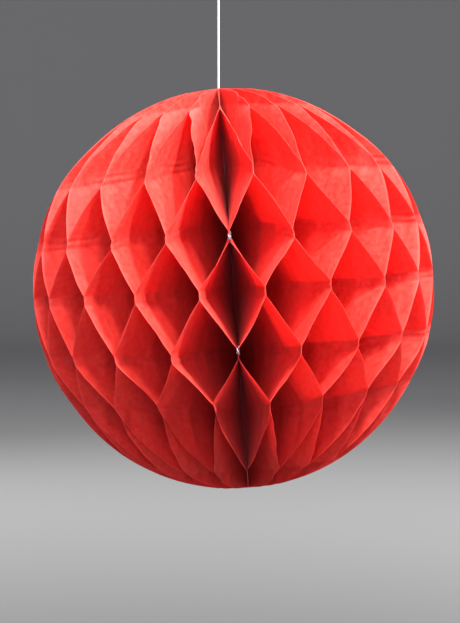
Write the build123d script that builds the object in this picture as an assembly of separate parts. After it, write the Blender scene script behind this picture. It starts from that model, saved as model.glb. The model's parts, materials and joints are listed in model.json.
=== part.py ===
from build123d import *

import os
from math import acos, atan, atan2, ceil, cos, degrees, floor, radians, sin, sqrt

# The origin is where a hook carries the hanging loop. +Z runs up along the string.
# The seam between the first and the last sheet faces -Y. All sizes are in millimetres.

# Sheets
BALL_RADIUS = 100.0
SHEET_COUNT = 40
PAPER_THICKNESS = 0.10
PASTE_GAP = 0.02
SPINE_RADIUS = 1.1
ROW_PITCH = 31.0
ROW_WIDTH = 4.5
ROW_OFFSET = 1.0
LEAN = 4.3
# The zigzag is made this much larger than the ball and then cut; so many rounds find its outline
OUTLINE_MARGIN = 6.0
OUTLINE_ROUNDS = 30

# String
STRING_DIAMETER = 1.1
FREE_STRING = 52.0
LOOP_RADIUS = 3.8
LOOP_DROP = 13.0
LOOP_LEG_GAP = 0.4
KNOT_DIAMETER = 3.6
KNOT_HEIGHT = 3.2
KNOT_ROUNDING = 1.1
POCKET_CLEARANCE = 0.4
SEAT_GAP = 0.05

# Stitches through the straight edges
THREAD_DIAMETER = 0.35
STITCH_RADIUS = 2.2
STITCH_HOLE_CLEARANCE = 0.2
STITCH_END_MARGIN = 4.0

# Wire clips on the seam
CLIP_ROWS = {"clip_upper": 1, "clip_lower": -1}
WIRE_DIAMETER = 0.7
CLIP_LENGTH = 20.0
CLIP_EDGE_MARGIN = 0.2
CLIP_PAPER_GAP = 0.05
CLIP_TIP_GAP = 0.3
INNER_LOOP_SHARE = 0.75
INNER_LOOP_RETURN = 0.5
BEND_SHARE = 0.96
FREE_LEG = 5.0

# What follows from them
SHEET_ANGLE = 360.0 / SHEET_COUNT
HALF_ANGLE = radians(SHEET_ANGLE / 2)
STRING_RADIUS = STRING_DIAMETER / 2
WIRE_RADIUS = WIRE_DIAMETER / 2
POLE_HEIGHT = STRING_RADIUS - LOOP_DROP - KNOT_HEIGHT - FREE_STRING
POCKET_RADIUS = KNOT_DIAMETER / 2 + POCKET_CLEARANCE
POCKET_HEIGHT = KNOT_HEIGHT + 2 * SEAT_GAP
OUTER_REACH = BALL_RADIUS + OUTLINE_MARGIN
LAST_ROW = ceil(BALL_RADIUS / ROW_PITCH)
END_ROW = floor((BALL_RADIUS - STITCH_END_MARGIN - ROW_OFFSET) / ROW_PITCH)
STITCH_ROWS = (-END_ROW, 0, END_ROW)
SEAM_AZIMUTH = -90.0

# The ball leans about the pole, where the string leaves the spine. In the ball's own frame the
# spine is the Z axis and the centre is the origin.
POLE = Location((0, 0, POLE_HEIGHT), (0, -LEAN, 0))
BALL = POLE * Location((0, 0, -BALL_RADIUS))


def row_centre(row):
    """Height of a glued row on the flat sheet, above the sheet's middle."""
    return ROW_OFFSET + row * ROW_PITCH


def squeeze(radius):
    """How much of its flat height the open sheet keeps at a distance from the spine.

    The paper between two rows swings across one sheet's wedge, so it stands lower than it is long.
    """
    free = ROW_PITCH - ROW_WIDTH
    across = 2 * HALF_ANGLE * radius
    return (ROW_WIDTH + sqrt(free**2 - across**2)) / ROW_PITCH


def open_height(row, edge, radius):
    """Height on the open sheet, at a distance from the spine, of a line that is edge above a row."""
    return row_centre(row) * squeeze(radius) + edge


def rim_point(row, edge):
    """Distance from the spine and height where that line meets the ball's outline."""
    height = row_centre(row) + edge
    for _ in range(OUTLINE_ROUNDS):
        radius = sqrt(max(BALL_RADIUS**2 - height**2, 0))
        height = open_height(row, edge, radius)
    return radius, height


def crease_slope(row, edge):
    """Rise of that line, taken as straight, for each millimetre out from the spine."""
    radius, height = rim_point(row, edge)
    if radius <= SPINE_RADIUS:
        return 0
    return (height - row_centre(row) - edge) / (radius - SPINE_RADIUS)


def on_wedge(radius, side, depth, height):
    """A point beside one wall of the sheet's wedge, depth inside it. The wedge's middle is +X."""
    return Vector(
        radius * cos(HALF_ANGLE) + depth * sin(HALF_ANGLE),
        side * (radius * sin(HALF_ANGLE) - depth * cos(HALF_ANGLE)),
        height,
    )


def creases(first_side):
    """Each crease as its wall and its inner and outer points, front and back, from the foot up.

    Even rows lie on the wall first_side and odd rows on the other.
    """
    lines = []
    for row in range(-LAST_ROW, LAST_ROW + 1):
        side = first_side if row % 2 == 0 else -first_side
        near, far = PASTE_GAP / 2, PASTE_GAP / 2 + PAPER_THICKNESS
        front, back = (near, far) if side > 0 else (far, near)
        for edge in (-ROW_WIDTH / 2, ROW_WIDTH / 2):
            start = row_centre(row) + edge
            end = start + crease_slope(row, edge) * (OUTER_REACH - SPINE_RADIUS)
            inner = [on_wedge(SPINE_RADIUS, side, depth, start) for depth in (front, back)]
            outer = [on_wedge(OUTER_REACH, side, depth, end) for depth in (front, back)]
            lines.append((side, inner, outer))
    return lines


def panels(a, b, c, d, flat):
    """Faces on four corners: one if they are in a plane, otherwise two triangles."""
    corners = [(a, b, c, d)] if flat else [(a, b, c), (a, c, d)]
    return [Face(Wire.make_polygon(points, close=True)) for points in corners]


def pleated_web(first_side):
    """The sheet's zigzag before its outline is cut: stripes on the walls, slopes between them."""
    lines = creases(first_side)
    front, back = 0, 1
    faces = []
    for low, high in zip(lines, lines[1:]):
        flat = low[0] == high[0]
        for skin in (front, back):
            faces += panels(low[1][skin], low[2][skin], high[2][skin], high[1][skin], flat)
        for edge in (1, 2):
            corners = (low[edge][front], high[edge][front], high[edge][back], low[edge][back])
            faces += panels(*corners, flat)
    for _, inner, outer in (lines[0], lines[-1]):
        faces += panels(inner[front], outer[front], outer[back], inner[back], True)
    return Solid(Shell(faces))


def sheet_shape(first_side):
    """One paper sheet, middle on +X: a half-disc with stitch holes and a corner cut for the knot."""
    pocket = Pos(0, 0, -BALL_RADIUS) * Cylinder(POCKET_RADIUS, 2 * POCKET_HEIGHT)
    sheet = pleated_web(first_side) & Sphere(BALL_RADIUS)
    sheet -= pocket
    hole_radius = (THREAD_DIAMETER + STITCH_HOLE_CLEARANCE) / 2
    for row in STITCH_ROWS:
        at_stitch = Pos(STITCH_RADIUS, 0, row_centre(row)) * Rot(90, 0, 0)
        sheet -= at_stitch * Cylinder(hole_radius, STITCH_RADIUS)
    return sheet.solid()


def sheets():
    """The forty sheets: two mirrored shapes in turn round the spine, from the seam round to it."""
    shapes = {side: sheet_shape(side) for side in (1, -1)}
    placed = {}
    for number in range(1, SHEET_COUNT + 1):
        side = 1 if number % 2 == 1 else -1
        azimuth = SEAM_AZIMUTH + (number - 0.5) * SHEET_ANGLE
        placed[f"sheet_{number:02d}"] = BALL * Rot(0, 0, azimuth) * shapes[side]
    return placed


def knot():
    """A tight stopper knot, as a barrel with its top at the origin."""
    barrel = Cylinder(KNOT_DIAMETER / 2, KNOT_HEIGHT, align=(Align.CENTER, Align.CENTER, Align.MAX))
    return fillet(barrel.edges().filter_by(GeomType.CIRCLE), KNOT_ROUNDING)


def hanging_loop():
    """The string's end bent round a hook: an arc above two legs that run down into the knot."""
    foot = STRING_RADIUS - LOOP_DROP
    centre = STRING_RADIUS - LOOP_RADIUS
    leg = STRING_RADIUS + LOOP_LEG_GAP / 2
    below = foot - centre
    turn = atan2(below, leg) + acos(LOOP_RADIUS / sqrt(leg**2 + below**2))
    touch_x, touch_z = LOOP_RADIUS * cos(turn), centre + LOOP_RADIUS * sin(turn)
    left_foot, left_touch = (-leg, 0, foot), (-touch_x, 0, touch_z)
    right_foot, right_touch = (leg, 0, foot), (touch_x, 0, touch_z)
    route = Curve() + [
        Line(left_foot, left_touch),
        ThreePointArc(left_touch, (0, 0, centre + LOOP_RADIUS), right_touch),
        Line(right_touch, right_foot),
    ]
    bend = sweep(Plane(origin=left_foot, z_dir=route % 0) * Circle(STRING_RADIUS), path=route)
    past_foot = Box(LOOP_DROP, LOOP_DROP, LOOP_DROP, align=(Align.CENTER, Align.CENTER, Align.MAX))
    return (bend - Pos(0, 0, foot) * past_foot).solid()


def string_pieces():
    """The string from its hanging loop down to the knot under the sheets."""
    knot_top = STRING_RADIUS - LOOP_DROP
    free = Pos(0, 0, POLE_HEIGHT) * Cylinder(
        STRING_RADIUS, FREE_STRING, align=(Align.CENTER, Align.CENTER, Align.MIN)
    )
    core_top = BALL_RADIUS - STRING_RADIUS - SEAT_GAP
    bottom_knot_top = POCKET_HEIGHT - SEAT_GAP - BALL_RADIUS
    core = Pos(0, 0, bottom_knot_top) * Cylinder(
        STRING_RADIUS, core_top - bottom_knot_top, align=(Align.CENTER, Align.CENTER, Align.MIN)
    )
    return {
        "hanging_loop": hanging_loop(),
        "loop_knot": Pos(0, 0, knot_top) * knot(),
        "hanging_string": free + Pos(0, 0, POLE_HEIGHT) * Sphere(STRING_RADIUS),
        "core_string": BALL * core,
        "bottom_knot": BALL * Pos(0, 0, bottom_knot_top) * knot(),
    }


def spine_stitches():
    """Closed rings of thread round the spine, one through the straight edges at each stitched row."""
    ring = Torus(STITCH_RADIUS, THREAD_DIAMETER / 2)
    return Compound([(BALL * Pos(0, 0, row_centre(row)) * ring).solid() for row in STITCH_ROWS])


def seam_clip(row):
    """A wire clip pushed in over the seam: a wide loop on one sheet and a narrow one on the other."""
    off = PASTE_GAP / 2 + PAPER_THICKNESS + CLIP_PAPER_GAP + WIRE_RADIUS
    wide = ROW_WIDTH / 2 - CLIP_EDGE_MARGIN - WIRE_RADIUS
    narrow = INNER_LOOP_SHARE * wide
    back = INNER_LOOP_RETURN * wide
    rim, height = rim_point(row, 0)
    bulge = max(rim_point(row, edge)[0] for edge in (-ROW_WIDTH / 2, ROW_WIDTH / 2)) - rim
    along_row = -degrees(atan(crease_slope(row, 0)))
    tip = bulge + CLIP_TIP_GAP + WIRE_RADIUS
    deep = tip - CLIP_LENGTH + WIRE_DIAMETER
    shallow = deep + WIRE_DIAMETER + INNER_LOOP_RETURN * FREE_LEG
    corners = [
        (tip - FREE_LEG, off, wide),
        (deep, off, wide),
        (deep, off, -wide),
        (tip, off, -wide),
        (tip, -off, narrow),
        (shallow, -off, narrow),
        (shallow, -off, -back),
        (tip - FREE_LEG, -off, -back),
    ]
    bends = [wide, wide, narrow, narrow, (narrow + back) / 2, (narrow + back) / 2]
    route = FilletPolyline(*corners, radius=[BEND_SHARE * bend for bend in bends])
    wire = sweep(Plane(origin=route @ 0, z_dir=route % 0) * Circle(WIRE_RADIUS), path=route)
    return BALL * Rot(0, 0, SEAM_AZIMUTH) * Pos(rim, 0, height) * Rot(0, along_row, 0) * wire.solid()


def main():
    os.makedirs("parts", exist_ok=True)
    nodes = sheets() | string_pieces()
    nodes["spine_stitches"] = spine_stitches()
    for name, row in CLIP_ROWS.items():
        nodes[name] = seam_clip(row)
    for name, shape in nodes.items():
        export_step(shape, f"parts/{name}.step")


main()
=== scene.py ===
import json

import bpy
import numpy as np
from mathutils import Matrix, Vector


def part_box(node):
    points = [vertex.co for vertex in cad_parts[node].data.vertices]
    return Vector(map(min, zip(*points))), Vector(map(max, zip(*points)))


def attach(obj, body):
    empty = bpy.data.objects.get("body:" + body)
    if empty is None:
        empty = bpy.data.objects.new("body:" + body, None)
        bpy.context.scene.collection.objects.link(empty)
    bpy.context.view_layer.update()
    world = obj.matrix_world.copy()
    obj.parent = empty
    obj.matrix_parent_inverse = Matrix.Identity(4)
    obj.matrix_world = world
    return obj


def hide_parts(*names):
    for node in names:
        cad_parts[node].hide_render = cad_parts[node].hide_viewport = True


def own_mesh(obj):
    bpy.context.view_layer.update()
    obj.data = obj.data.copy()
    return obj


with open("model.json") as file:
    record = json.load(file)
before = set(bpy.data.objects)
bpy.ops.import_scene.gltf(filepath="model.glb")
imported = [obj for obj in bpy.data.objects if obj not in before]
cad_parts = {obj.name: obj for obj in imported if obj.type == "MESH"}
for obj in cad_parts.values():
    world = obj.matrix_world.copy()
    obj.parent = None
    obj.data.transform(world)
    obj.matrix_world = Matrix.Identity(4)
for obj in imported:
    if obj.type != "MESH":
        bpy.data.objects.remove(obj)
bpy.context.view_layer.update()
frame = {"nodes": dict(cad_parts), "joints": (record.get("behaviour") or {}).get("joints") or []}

# The camera looks at the seam side of the ball, almost level and from twelve radii off, so the ball
# shows nearly as a plain circle. The ball's own frame comes from the fold joint: its place is the
# pole, where the string leaves the sheets, and its axis is the spine.
fold = next(joint for joint in frame["joints"] if joint["name"] == "fold_40")
pole = np.array(fold["pos_m"], float)
spine_up = np.array(fold["axis"], float)
spine_up /= np.linalg.norm(spine_up)
ball_radius = 0.100
ball_centre = pole - ball_radius * spine_up
sensor_height = 36.0
ball_share_of_view = 0.6437
aim_left = 0.0175 * ball_radius
aim_below = 0.1147 * ball_radius
camera_distance = 12 * ball_radius
camera_rise = np.radians(2.6)

to_camera = np.array([0.0, -np.cos(camera_rise), np.sin(camera_rise)])
camera_up = np.array([0.0, np.sin(camera_rise), np.cos(camera_rise)])
aim = ball_centre - aim_below * camera_up - np.array([aim_left, 0.0, 0.0])
camera_data = bpy.data.cameras.new("view")
camera_data.sensor_width = sensor_height
half_share = ball_share_of_view / 2
camera_data.lens = sensor_height * half_share * np.sqrt((camera_distance / ball_radius) ** 2 - 1)
camera_data.clip_start = 0.01
camera = bpy.data.objects.new("view", camera_data)
bpy.context.scene.collection.objects.link(camera)
camera.location = aim + camera_distance * to_camera
camera.rotation_euler = (-Vector(to_camera)).to_track_quat("-Z", "Y").to_euler()
bpy.context.scene.camera = camera
bpy.context.scene.view_settings.view_transform = "Standard"


# The hanging string: three plies of white cotton laid up into a cord 1.1 mm thick. It is pulled
# straight by the ball's weight, from the pole up to the knot under the hanging loop.
string_radius = 0.00055
plies = 3
ply_lay = 0.0024
ply_groove = 0.16
knot_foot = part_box("loop_knot")[0][2]
string_route = [
    (0.0, 0.0, pole[2]),
    (0.0, 0.0, pole[2] + 0.018),
    (0.0, 0.0, pole[2] + 0.036),
    (0.0, 0.0, knot_foot),
]


def add_mesh(name, points, faces, uv=None):
    """A smooth-shaded mesh object at the origin, from points, faces and a UV point for each point."""
    mesh = bpy.data.meshes.new(name)
    mesh.from_pydata(points.tolist(), [], list(faces))
    if uv is not None:
        corners = np.empty(len(mesh.loops), np.int32)
        mesh.loops.foreach_get("vertex_index", corners)
        layer = mesh.uv_layers.new(name="flat")
        layer.data.foreach_set("uv", uv[corners].astype(np.float32).ravel())
    mesh.shade_smooth()
    piece = bpy.data.objects.new(name, mesh)
    bpy.context.scene.collection.objects.link(piece)
    return piece


def grid_faces(rows, columns, around=False):
    """Quads of a grid whose points run row by row; around joins the last column to the first."""
    last = columns if around else columns - 1
    row, column = np.meshgrid(np.arange(rows - 1), np.arange(last), indexing="ij")
    here = (row * columns + column).ravel()
    beside = (row * columns + (column + 1) % columns).ravel()
    return np.stack([here, beside, beside + columns, here + columns], axis=1)


def along(points, step):
    """Points spaced evenly by about step along a polyline, found by its running length."""
    run = np.concatenate([[0], np.cumsum(np.linalg.norm(np.diff(points, axis=0), axis=1))])
    places = np.linspace(0, run[-1], max(int(round(run[-1] / step)), 8) + 1)
    return places, np.stack([np.interp(places, run, points[:, axis]) for axis in range(3)], axis=1)


def laid_string(name, points, reference, around=18, step=0.0003):
    """A tube along points whose outline is three rounded plies turning with the running length.

    Its radius at an angle is the string's radius less a groove that is deepest where two plies
    meet: r = R (1 - groove + groove |cos (plies / 2) (angle - turn)|), and turn grows by a full
    turn in one lay. reference is a direction that the line never runs along; it steadies the rings.
    """
    run, line = along(np.asarray(points, float), step)
    forward = np.gradient(line, axis=0)
    forward /= np.linalg.norm(forward, axis=1)[:, None]
    side = np.cross(forward, reference)
    side /= np.linalg.norm(side, axis=1)[:, None]
    across = np.cross(forward, side)
    angle = np.linspace(0, 2 * np.pi, around, endpoint=False)[None, :]
    turn = (2 * np.pi * run / ply_lay)[:, None]
    bulge = np.abs(np.cos(plies / 2 * (angle - turn)))
    radius = string_radius * (1 - ply_groove + ply_groove * bulge)
    ring = radius[..., None] * (
        np.cos(angle)[..., None] * side[:, None] + np.sin(angle)[..., None] * across[:, None]
    )
    tube = (line[:, None] + ring).reshape(-1, 3)
    points = np.concatenate([tube, line[:1], line[-1:]])
    uv = np.stack(np.broadcast_arrays(angle * string_radius, run[:, None]), axis=-1).reshape(-1, 2)
    uv = np.concatenate([uv, [[0, 0]], [[0, run[-1]]]])
    quads = grid_faces(len(line), around, around=True)
    first, beside = np.arange(around), (np.arange(around) + 1) % around
    low_end = np.stack([beside, first, np.full(around, len(tube))], axis=1)
    top = (len(line) - 1) * around
    high_end = np.stack([top + first, top + beside, np.full(around, len(tube) + 1)], axis=1)
    return add_mesh(name, points, [*quads.tolist(), *low_end.tolist(), *high_end.tolist()], uv)


route_curve = bpy.data.curves.new("string_route", "CURVE")
route_curve.dimensions = "3D"
route_spline = route_curve.splines.new("NURBS")
route_spline.points.add(len(string_route) - 1)
for point, place in zip(route_spline.points, string_route):
    point.co = (*place, 1.0)
route_spline.order_u = 3
route_spline.use_endpoint_u = True
route_object = bpy.data.objects.new("string_route", route_curve)
route_mesh = bpy.data.meshes.new_from_object(route_object)
route_points = np.array([vertex.co for vertex in route_mesh.vertices])
bpy.data.objects.remove(route_object)
bpy.data.meshes.remove(route_mesh)

# Cotton, matt and a little fuzzy, with a fine grain that runs slantwise along the plies.
cotton = bpy.data.materials.new("white_cotton_string")
cotton.use_nodes = True
nodes, links = cotton.node_tree.nodes, cotton.node_tree.links
shader = nodes["Principled BSDF"]
shader.inputs["Roughness"].default_value = 0.8
shader.inputs["Sheen Weight"].default_value = 0.4
fibre_place = nodes.new("ShaderNodeUVMap")
fibre_place.uv_map = "flat"
fibre_scale = nodes.new("ShaderNodeMapping")
fibre_scale.inputs["Scale"].default_value = (9000, 1400, 1)
fibre_scale.inputs["Rotation"].default_value = (0, 0, 0.6)
fibres = nodes.new("ShaderNodeTexNoise")
fibres.inputs["Scale"].default_value = 1.0
fibres.inputs["Detail"].default_value = 3.0
fibre_colour = nodes.new("ShaderNodeValToRGB")
fibre_colour.color_ramp.elements[0].position = 0.3
fibre_colour.color_ramp.elements[0].color = (0.36, 0.36, 0.37, 1)
fibre_colour.color_ramp.elements[1].position = 0.62
fibre_colour.color_ramp.elements[1].color = (0.56, 0.56, 0.56, 1)
fibre_bump = nodes.new("ShaderNodeBump")
fibre_bump.inputs["Strength"].default_value = 0.35
fibre_bump.inputs["Distance"].default_value = 0.00008
links.new(fibre_place.outputs["UV"], fibre_scale.inputs["Vector"])
links.new(fibre_scale.outputs["Vector"], fibres.inputs["Vector"])
links.new(fibres.outputs["Fac"], fibre_colour.inputs["Fac"])
links.new(fibre_colour.outputs["Color"], shader.inputs["Base Color"])
links.new(fibres.outputs["Fac"], fibre_bump.inputs["Height"])
links.new(fibre_bump.outputs["Normal"], shader.inputs["Normal"])

string = laid_string("string_free", route_points, (1, 0, 0))
string.data.materials.append(cotton)
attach(string, "string")
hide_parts("hanging_string")


# The hanging loop and its knot: the same string turned back on itself over a round top 3.8 mm in
# radius, and tied off with a tight overhand knot that stands above the free string.
knot_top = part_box("loop_knot")[1][2]
loop_turn = 0.0038
leg_gap = 0.00075


def loop_line(count=120):
    """Two straight legs that meet an arc at a tangent: the arc's centre is one radius under its top."""
    centre = string_radius - loop_turn
    below = knot_top - centre
    touch = np.arctan2(below, leg_gap) + np.arccos(loop_turn / np.hypot(leg_gap, below))
    sweep = np.linspace(np.pi - touch, touch, count)
    arc = np.stack([loop_turn * np.cos(sweep), 0 * sweep, centre + loop_turn * np.sin(sweep)], axis=1)
    sunk = knot_top - string_radius
    left_leg = [(-leg_gap, 0, sunk), (-leg_gap, 0, knot_top)]
    right_leg = [(leg_gap, 0, knot_top), (leg_gap, 0, sunk)]
    return np.concatenate([left_leg, arc, right_leg])


def knot_line(low, high, width, count=220):
    """An overhand knot fitted between two heights, drawn as a trefoil.

    Its reach is 2 + cos 3t, turned through 2t, and its height is sin 3t.
    """
    t = np.linspace(0, 2 * np.pi, count)
    flat = (width / 2 - string_radius) / 3
    tall = (high - low) / 2 - string_radius
    reach = flat * (2 + np.cos(3 * t))
    height = tall * np.sin(3 * t) + (high + low) / 2
    return np.stack([reach * np.cos(2 * t), reach * np.sin(2 * t), height], axis=1)


loop = laid_string("string_loop", loop_line(), (0, 1, 0))
loop.data.materials.append(cotton)
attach(loop, "hanger")
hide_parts("hanging_loop")

knot_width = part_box("loop_knot")[1][0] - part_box("loop_knot")[0][0]
loop_knot = laid_string("string_loop_knot", knot_line(knot_foot, knot_top, knot_width), (0, 0, 1))
loop_knot.data.materials.append(cotton)
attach(loop_knot, "hanger")
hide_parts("loop_knot")


# Forty half-discs of thin glazed paper, fanned nine degrees apart round the spine. Neighbours are
# pasted on stripes 4.5 mm high, on odd and even rows in turn, so each sheet swings from wall to
# wall of its wedge. The paper can't stretch, so the more it swings, the lower it stands.
sheet_count = 40
wedge = 2 * np.pi / sheet_count
paper = 0.00010
paste_gap = 0.00005
spine_gap = 0.0011
end_reach = 1.5 * spine_gap
row_pitch = 0.031
row_height = 0.0045
row_offset = 0.001
slope_length = row_pitch - row_height
end_row = 3
fold_softness = 44
levels = 260
reaches = 30
fold_crowding = 3
fold_band = 0.0022
rim_crowding = 1.25
outline_rounds = 40
tip_band = 0.02
# Width of the painted highlight along the rim.
rim_highlight_width = 0.0006
sharpest_bend = np.radians(60)
chance = np.random.default_rng(7)

side_way = np.cross(spine_up, (0, -1, 0))
side_way /= np.linalg.norm(side_way)
front_way = np.cross(side_way, spine_up)


def hung_in_place(points):
    """Points drawn with the spine on Z and the seam towards -Y, brought to where the ball hangs."""
    own = np.stack([side_way, -front_way, spine_up], axis=0)
    return ball_centre + points @ own


def slope_run(flat):
    """Flat length that lies on slopes, not stripes, from the sheet's middle to a flat height."""
    row = np.round((flat - row_offset) / row_pitch)
    past = flat - row_offset - row * row_pitch
    in_slope = np.sign(past) * np.maximum(np.abs(past) - row_height / 2, 0)
    return row * slope_length + in_slope + row_offset * slope_length / row_pitch


def flat_levels():
    """Flat heights of the grid's rows, crowded at the folds.

    Their density is 1 + crowding exp(-(distance from the nearest fold / band)^2), and they are
    spaced evenly along its running sum.
    """
    end = np.sqrt(ball_radius**2 - end_reach**2)
    fine_steps = 4001
    even = np.linspace(-end, end, fine_steps)
    from_row = np.abs(np.mod(even - row_offset + row_pitch / 2, row_pitch) - row_pitch / 2)
    from_fold = (from_row - row_height / 2) / fold_band
    run = np.cumsum(1 + fold_crowding * np.exp(-(from_fold**2)))
    run = (run - run[0]) / (run[-1] - run[0])
    return np.interp(np.linspace(0, 1, levels), run, even)


def upright(reach):
    """How upright the slopes are at a distance from the spine: the cosine of their lean."""
    return np.sqrt(1 - (wedge * reach / slope_length) ** 2)


def outline(flat):
    """Distance from the spine and height at which each flat height meets the round outline."""
    height = flat.copy()
    for _ in range(outline_rounds):
        reach = np.sqrt(np.maximum(ball_radius**2 - height**2, 0))
        height = flat - (1 - upright(reach)) * slope_run(flat)
    return reach, height


def steepness(flat):
    """Height over reach where a flat height meets the outline: the tangent of its latitude."""
    reach, height = outline(flat)
    return height / np.maximum(reach, 0.0001)


def swing(flat):
    """Which wall of its wedge the paper is at: 1 on even rows, -1 on odd ones, softly bent between.

    The free edge is pulled straight from node to node, which on a ball is a great circle, so between
    two rows the swing goes evenly with the tangent of the latitude. Past the end rows it goes evenly
    with the flat height. x / (1 + |x|^p)^(1/p) then cuts it off at the stripes and rounds the folds.
    """
    row = np.floor((flat - row_offset) / row_pitch)
    low = row_offset + row * row_pitch + row_height / 2
    share = (flat - low) / slope_length
    tangent = [steepness(place) for place in (low, flat, low + slope_length)]
    between = (row >= -end_row) & (row < end_row)
    share = np.where(between, (tangent[1] - tangent[0]) / (tangent[2] - tangent[0]), share)
    steep = (1 - 2 * share) * np.where(row % 2 == 0, 1, -1)
    return steep / (1 + np.abs(steep) ** fold_softness) ** (1 / fold_softness)


# Where each pair of neighbours is pasted: the line between them wanders a little, and so does the
# height of each stripe, because the sheets are pasted and fanned by hand.
rows = np.arange(-end_row - 1, end_row + 2)
line_spread = np.radians(0.4)
stripe_spread = 0.0006
row_error = 0.001 * np.array([0, 0, 1.9, -1.6, 0.9, 0.5, 1.4, -3.5, 0])
line_wander = line_spread * chance.standard_normal((sheet_count, len(rows)))
line_wander[0] = 0
stripe_wander = row_error + stripe_spread * chance.standard_normal((sheet_count, len(rows)))
crumple_lengths = (0.0075, 0.011, 0.019)
crumple_start = chance.uniform(0, 2 * np.pi, (len(crumple_lengths), sheet_count, len(rows)))
crumple_slope = 0.020
crumple_free = 0.03
crease_start = chance.uniform(0, 2 * np.pi, (3, sheet_count, len(rows)))
crease_spacing = 0.0034
crease_depth = 0.00022
crease_band = 0.0038
crease_free = 0.05
crease_bend = 1.3
crease_bend_length = 0.034
crease_patch_length = 0.07


def between_rows(flat):
    """The row under each flat height, counted from the first, and a smooth share of the way up."""
    place = np.clip((flat - row_offset) / row_pitch, rows[0], rows[-1]) - rows[0]
    low = np.minimum(np.floor(place).astype(int), len(rows) - 2)
    share = place - low
    return low, share**2 * (3 - 2 * share)


def wander(table, line, flat):
    """The value for one glue line at each flat height, bent smoothly from row to row."""
    low, share = between_rows(flat)
    return table[line][low] * (1 - share) + table[line][low + 1] * share


def crumple(line, flat, reach):
    """Small waves along each pasted stripe, sin(2 pi reach / length + start), shared by both sheets."""
    low, share = between_rows(flat)
    total = 0
    for length, start in zip(crumple_lengths, crumple_start):
        turn = 2 * np.pi * reach / length
        lower = np.sin(turn + start[line][low])
        upper = np.sin(turn + start[line][low + 1])
        total = total + length * (lower * (1 - share) + upper * share)
    return crumple_slope * np.clip(reach / crumple_free, 0, 1) ** 2 * total


def creases(line, flat, reach):
    """Fine creases that run along a pasted stripe towards its node: sin(2 pi past / spacing + bend).

    past is the flat height from the stripe's middle. They fade away from the stripe, towards the
    spine and in patches along the stripe.
    """
    row = np.round((flat - row_offset) / row_pitch).astype(int)
    past = flat - row_offset - row * row_pitch
    start, bend_start, patch_start = crease_start[:, line][:, row - rows[0]]
    bend = crease_bend * np.sin(2 * np.pi * reach / crease_bend_length + bend_start)
    patch = np.clip(np.sin(2 * np.pi * reach / crease_patch_length + patch_start), 0, 1)
    fade = np.exp(-((past / crease_band) ** 2)) * np.clip(reach / crease_free, 0, 1) ** 2
    return crease_depth * fade * patch * np.sin(2 * np.pi * past / crease_spacing + start + bend)


def unevenness(line, flat, reach):
    """Crumples and creases of one glue line. The seam's line is straight, because clips hold it."""
    if line == 0:
        return 0 * reach
    return crumple(line, flat, reach) + creases(line, flat, reach)


def ripples(flat, reach, count, longest, shortest, strength):
    """Soft unevenness of handled paper: a sum of waves in random directions over the flat sheet."""
    length = np.exp(chance.uniform(np.log(shortest), np.log(longest), count))
    way = chance.uniform(0, 2 * np.pi, count)
    start = chance.uniform(0, 2 * np.pi, count)
    total = 0
    for size, angle, phase in zip(length, way, start):
        run = reach * np.cos(angle) + flat * np.sin(angle)
        total = total + size * np.sin(2 * np.pi * run / size + phase)
    return strength * total / np.sqrt(count)


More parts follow.
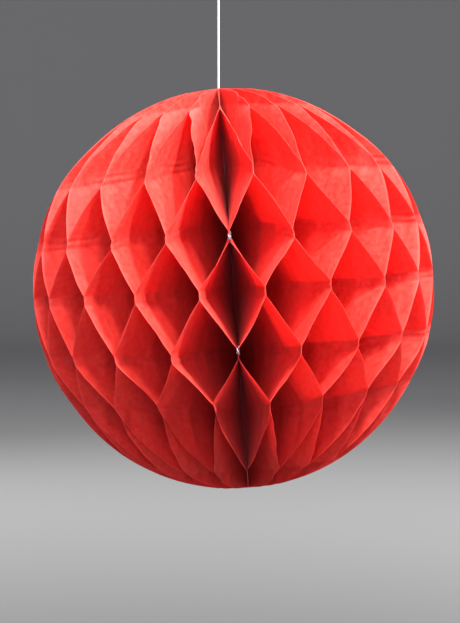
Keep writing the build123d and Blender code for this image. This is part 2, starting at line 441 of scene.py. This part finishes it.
def pleated_sheet(number):
    """One sheet as a closed thin shell over a grid of flat heights and shares of the reach.

    A point's azimuth runs between the two glue lines beside the sheet as swing says, and its height
    is its flat height less what the lean of the slopes takes up. Both skins are half a thickness off.
    """
    side = 1 if number % 2 == 1 else -1
    flat = flat_levels()
    place = side * swing(flat)[:, None]
    share = 1 - (1 - np.linspace(0, 1, reaches)) ** rim_crowding
    rim, _ = outline(flat)
    inner = np.minimum(spine_gap, rim)
    reach = inner[:, None] + (rim - inner)[:, None] * share[None, :]
    flat = np.broadcast_to(flat[:, None], reach.shape)
    free = 1 - place**2
    low_line, high_line = number - 1, number % sheet_count
    out = np.clip(reach / ball_radius, 0, 1)
    low_wall = -wedge / 2 + wander(line_wander, low_line, flat) * out
    high_wall = wedge / 2 + wander(line_wander, high_line, flat) * out
    part = (1 + place) / 2
    inset = (paste_gap + paper) / 2 * place
    lateral = reach * (low_wall * (1 - part) + high_wall * part) - inset
    lateral += unevenness(low_line, flat, reach) * (1 - part)
    lateral += unevenness(high_line, flat, reach) * part
    lateral += free * out * ripples(
        flat, reach, count=5, longest=0.060, shortest=0.022, strength=0.010
    )
    lateral += free * out * ripples(
        flat, reach, count=6, longest=0.016, shortest=0.007, strength=0.009
    )
    height = flat - (1 - upright(reach)) * slope_run(flat)
    low_lift = wander(stripe_wander, low_line, flat)
    high_lift = wander(stripe_wander, high_line, flat)
    from_tip = np.clip((ball_radius - np.abs(flat)) / tip_band, 0, 1)
    height = height + out**2 * (low_lift * (1 - part) + high_lift * part) * from_tip
    middle = (number - 0.5) * wedge - np.pi / 2
    skins = []
    for offset in (paper / 2, -paper / 2):
        turn = middle + (lateral + offset) / np.maximum(reach, 1e-6)
        skins.append(np.stack([reach * np.cos(turn), reach * np.sin(turn), height], axis=-1))
    points = hung_in_place(np.concatenate(skins).reshape(-1, 3))
    count = levels * reaches
    face = grid_faces(levels, reaches)
    border = np.concatenate([
        np.arange(reaches - 1),
        np.arange(levels - 1) * reaches + reaches - 1,
        count - 1 - np.arange(reaches - 1),
        (levels - 1 - np.arange(levels - 1)) * reaches,
    ])
    following = np.roll(border, -1)
    edge = np.stack([border, following, following + count, border + count], axis=1)
    faces = np.concatenate([face[:, ::-1], face + count, edge])
    uv = np.stack([reach, flat], axis=-1).reshape(-1, 2)
    piece = add_mesh(f"paper_{number:02d}", points, faces, np.concatenate([uv, uv]))
    # Painted highlight mask: 1 at the rim where it catches the light, falling to 0 a little way in.
    near_rim = np.clip(1 - (rim[:, None] - reach) / rim_highlight_width, 0, 1)
    trim = piece.data.attributes.new("painted_rim_highlight", "FLOAT", "POINT")
    trim.data.foreach_set("value", np.concatenate([near_rim.ravel()] * 2).astype(np.float32))
    piece.data.set_sharp_from_angle(angle=sharpest_bend)
    return piece, middle


# The paper is cloudy in colour with a fine pulp grain, and lets light through. Along its cut edge the
# colour
# is made paler: a painted highlight where the rim catches the light.
tissue = bpy.data.materials.new("red_glazed_paper")
tissue.use_nodes = True
nodes, links = tissue.node_tree.nodes, tissue.node_tree.links
shader = nodes["Principled BSDF"]
paper_place = nodes.new("ShaderNodeUVMap")
paper_place.uv_map = "flat"
cloud = nodes.new("ShaderNodeTexNoise")
cloud.inputs["Scale"].default_value = 320
cloud.inputs["Detail"].default_value = 5
cloud.inputs["Roughness"].default_value = 0.65
pulp = nodes.new("ShaderNodeTexNoise")
pulp.inputs["Scale"].default_value = 1500
pulp.inputs["Detail"].default_value = 2
red = nodes.new("ShaderNodeValToRGB")
red.color_ramp.elements[0].position = 0.36
red.color_ramp.elements[0].color = (0.76, 0.034, 0.022, 1)
red.color_ramp.elements[1].position = 0.64
red.color_ramp.elements[1].color = (0.92, 0.078, 0.056, 1)
# Painted highlight: the base colour is mixed towards a paler red along the rim, where it catches the
# light.
cut = nodes.new("ShaderNodeAttribute")
cut.attribute_name = "painted_rim_highlight"
edge_mix = nodes.new("ShaderNodeMix")
edge_mix.data_type = "RGBA"
edge_mix.inputs["B"].default_value = (0.92, 0.105, 0.08, 1)
sheen_rough = nodes.new("ShaderNodeMapRange")
sheen_rough.inputs["To Min"].default_value = 0.58
sheen_rough.inputs["To Max"].default_value = 0.74
relief = nodes.new("ShaderNodeBump")
relief.inputs["Strength"].default_value = 0.35
relief.inputs["Distance"].default_value = 0.0001
glow = nodes.new("ShaderNodeBsdfTranslucent")
through = nodes.new("ShaderNodeMixShader")
through.inputs["Fac"].default_value = 0.45
glow.inputs["Color"].default_value = (0.88, 0.12, 0.09, 1)
shader.inputs["Specular IOR Level"].default_value = 0.3
shader.inputs["Sheen Weight"].default_value = 0.06
shader.inputs["Sheen Tint"].default_value = (1.0, 0.8, 0.7, 1)
shader.inputs["Sheen Roughness"].default_value = 0.4
links.new(paper_place.outputs["UV"], cloud.inputs["Vector"])
links.new(paper_place.outputs["UV"], pulp.inputs["Vector"])
links.new(cloud.outputs["Fac"], red.inputs["Fac"])
links.new(red.outputs["Color"], edge_mix.inputs["A"])
links.new(cut.outputs["Fac"], edge_mix.inputs["Factor"])
links.new(edge_mix.outputs["Result"], shader.inputs["Base Color"])
links.new(cloud.outputs["Fac"], sheen_rough.inputs["Value"])
links.new(sheen_rough.outputs["Result"], shader.inputs["Roughness"])
links.new(pulp.outputs["Fac"], relief.inputs["Height"])
links.new(relief.outputs["Normal"], shader.inputs["Normal"])
links.new(shader.outputs["BSDF"], through.inputs[1])
links.new(glow.outputs["BSDF"], through.inputs[2])
links.new(through.outputs["Shader"], nodes["Material Output"].inputs["Surface"])

for number in range(1, sheet_count + 1):
    sheet, middle = pleated_sheet(number)
    sheet.data.materials.append(tissue)
    node = f"sheet_{number:02d}"
    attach(sheet, "spine" if number == 1 else node)
    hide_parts(node)
    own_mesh(sheet)


# Inside the spine: the string runs on down to a stopper knot in a pocket at the foot, which the
# sheets rest on, and three rings of red thread bind the sheets' straight edges.
core_top, core_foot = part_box("core_string")[1][2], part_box("core_string")[0][2]
core_top_gap = 0.0006
core_foot_gap = 0.0001
stopper_height = 0.0032
stopper_width = 0.0036
core_length = (core_top - core_foot) / spine_up[2]
core_start = pole - core_top_gap * spine_up
core_line = np.stack([core_start, core_start - (core_length - core_foot_gap) * spine_up])
core = laid_string("string_core", core_line, (1, 0, 0), around=12, step=0.0006)
core.data.materials.append(cotton)
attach(core, "spine")
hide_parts("core_string")

stopper_line = knot_line(-stopper_height / 2, stopper_height / 2, stopper_width)
stopper_centre = np.mean(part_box("bottom_knot"), axis=0)
stopper = laid_string("string_stopper_knot", stopper_line + stopper_centre, (0, 0, 1))
stopper.data.materials.append(cotton)
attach(stopper, "spine")
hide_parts("bottom_knot")

# Sewing thread, matt and mottled by its fine twist.
thread = bpy.data.materials.new("red_sewing_thread")
thread.use_nodes = True
nodes, links = thread.node_tree.nodes, thread.node_tree.links
shader = nodes["Principled BSDF"]
shader.inputs["Roughness"].default_value = 0.7
shader.inputs["Sheen Weight"].default_value = 0.3
place = nodes.new("ShaderNodeTexCoord")
twist = nodes.new("ShaderNodeTexNoise")
twist.inputs["Scale"].default_value = 9000
twist_colour = nodes.new("ShaderNodeValToRGB")
twist_colour.color_ramp.elements[0].color = (0.22, 0.01, 0.012, 1)
twist_colour.color_ramp.elements[1].color = (0.6, 0.03, 0.03, 1)
links.new(place.outputs["Object"], twist.inputs["Vector"])
links.new(twist.outputs["Fac"], twist_colour.inputs["Fac"])
links.new(twist_colour.outputs["Color"], shader.inputs["Base Color"])
for material_slot in frame["nodes"]["spine_stitches"].material_slots:
    material_slot.material = thread


# Two small clips of bright steel wire, pushed in over the first and the last sheet at the seam, which
# they hold closed. They keep their own shape and only get a scuffed, slightly dull metal.
wire = bpy.data.materials.new("bright_steel_wire")
wire.use_nodes = True
nodes, links = wire.node_tree.nodes, wire.node_tree.links
shader = nodes["Principled BSDF"]
shader.inputs["Metallic"].default_value = 1.0
place = nodes.new("ShaderNodeTexCoord")
scuffs = nodes.new("ShaderNodeTexNoise")
scuffs.inputs["Scale"].default_value = 2500
scuffs.inputs["Detail"].default_value = 3
scuff_rough = nodes.new("ShaderNodeMapRange")
scuff_rough.inputs["To Min"].default_value = 0.36
scuff_rough.inputs["To Max"].default_value = 0.58
scuff_colour = nodes.new("ShaderNodeValToRGB")
scuff_colour.color_ramp.elements[0].color = (0.20, 0.20, 0.22, 1)
scuff_colour.color_ramp.elements[1].color = (0.34, 0.34, 0.37, 1)
links.new(place.outputs["Object"], scuffs.inputs["Vector"])
links.new(scuffs.outputs["Fac"], scuff_rough.inputs["Value"])
links.new(scuffs.outputs["Fac"], scuff_colour.inputs["Fac"])
links.new(scuff_rough.outputs["Result"], shader.inputs["Roughness"])
links.new(scuff_colour.outputs["Color"], shader.inputs["Base Color"])
for node in ("clip_upper", "clip_lower"):
    for material_slot in frame["nodes"][node].material_slots:
        material_slot.material = wire


# The studio: a round plain floor that curves up into a wall far out on every side, with soft lamps
# round the ball. The floor's colour holds painted shade and light against the lamps' fall-off: dark
# grey under the ball, where the lamps shine strongest, and paler towards the wall, where they are far off.
floor_drop = 0.16
floor_height = ball_centre[2] - ball_radius - floor_drop
wall_radius = 5.0
cove_radius = 1.2
wall_height = 3.2
wall_panels = 96
floor_eye = 0.001
dark_reach = 0.5
paling_run = 2.2


def cove(count=30):
    """A round floor and wall: level, then a quarter circle, then upright, turned round the ball."""
    level = np.linspace(floor_eye, wall_radius - cove_radius, count, endpoint=False)
    bend = np.linspace(0, np.pi / 2, count)
    out = np.concatenate([level, wall_radius - cove_radius + cove_radius * np.sin(bend), [wall_radius]])
    up = np.concatenate([0 * level, cove_radius * (1 - np.cos(bend)), [wall_height]])
    turn = np.linspace(0, 2 * np.pi, wall_panels, endpoint=False)
    ring = [np.outer(out, np.cos(turn)), np.outer(out, np.sin(turn)), np.outer(up, 0 * turn + 1)]
    return np.stack(ring, axis=-1).reshape(-1, 3) + (ball_centre[0], ball_centre[1], floor_height)


cove_points = cove()
cove_faces = grid_faces(len(cove_points) // wall_panels, wall_panels, around=True)
backdrop = add_mesh("backdrop", cove_points, cove_faces)
cove_out = np.linalg.norm(cove_points[:, :2] - ball_centre[:2], axis=1)
painted_falloff_share = backdrop.data.attributes.new("painted_falloff_share", "FLOAT", "POINT")
painted_falloff_share.data.foreach_set("value", np.clip((cove_out - dark_reach) / paling_run, 0, 1).astype(np.float32))
pale = bpy.data.materials.new("pale_backdrop")
pale.use_nodes = True
nodes, links = pale.node_tree.nodes, pale.node_tree.links
pale_share = nodes.new("ShaderNodeAttribute")
pale_share.attribute_name = "painted_falloff_share"
pale_mix = nodes.new("ShaderNodeMix")
pale_mix.data_type = "RGBA"
# Painted shade and light: dark grey near the ball, where the lamps are strong, paling with distance as
# their light falls off.
pale_mix.inputs["A"].default_value = (0.07, 0.07, 0.07, 1)
pale_mix.inputs["B"].default_value = (0.40, 0.40, 0.40, 1)
links.new(pale_share.outputs["Fac"], pale_mix.inputs["Factor"])
links.new(pale_mix.outputs["Result"], nodes["Principled BSDF"].inputs["Base Color"])
nodes["Principled BSDF"].inputs["Roughness"].default_value = 0.9
backdrop.data.materials.append(pale)


def softbox(name, azimuth, rise, distance, size, power, colour=(1, 1, 1)):
    """A square lamp aimed at the ball. Azimuth is measured from the camera's side, to its right."""
    lamp_data = bpy.data.lights.new(name, "AREA")
    lamp_data.size, lamp_data.energy, lamp_data.color = size, power, colour
    lamp = bpy.data.objects.new(name, lamp_data)
    lamp.visible_camera = False
    bpy.context.scene.collection.objects.link(lamp)
    turn, lift = np.radians(azimuth), np.radians(rise)
    way = np.array([np.sin(turn) * np.cos(lift), -np.cos(turn) * np.cos(lift), np.sin(lift)])
    lamp.location = ball_centre + distance * way
    lamp.rotation_euler = (-Vector(way)).to_track_quat("-Z", "Y").to_euler()


softbox("key", 35, 51, 1.4, 0.12, 42)
softbox("side", 50, 32, 1.4, 0.2, 20)
softbox("top", 0, 55, 1.4, 0.2, 17)
softbox("far_side", 70, 55, 1.4, 0.2, 9)
softbox("crown", 0, 80, 1.4, 0.3, 6)
softbox("left", -40, 55, 1.4, 0.3, 5)
softbox("front", -5, 22, 1.6, 0.4, 5)
softbox("broad_front", 0, 12, 1.3, 1.0, 9, (0.85, 0.65, 1.0))
softbox("low_fill", 0, -8, 1.2, 0.2, 1.2, (0.75, 0.55, 1.0))
softbox("back_right", 145, 38, 1.6, 0.4, 34)
softbox("back_left", -150, 22, 1.6, 0.6, 14)
world = bpy.data.worlds.new("studio")
world.use_nodes = True
world.node_tree.nodes["Background"].inputs["Color"].default_value = (0.9, 0.9, 1.0, 1)
world.node_tree.nodes["Background"].inputs["Strength"].default_value = 0.15
bpy.context.scene.world = world
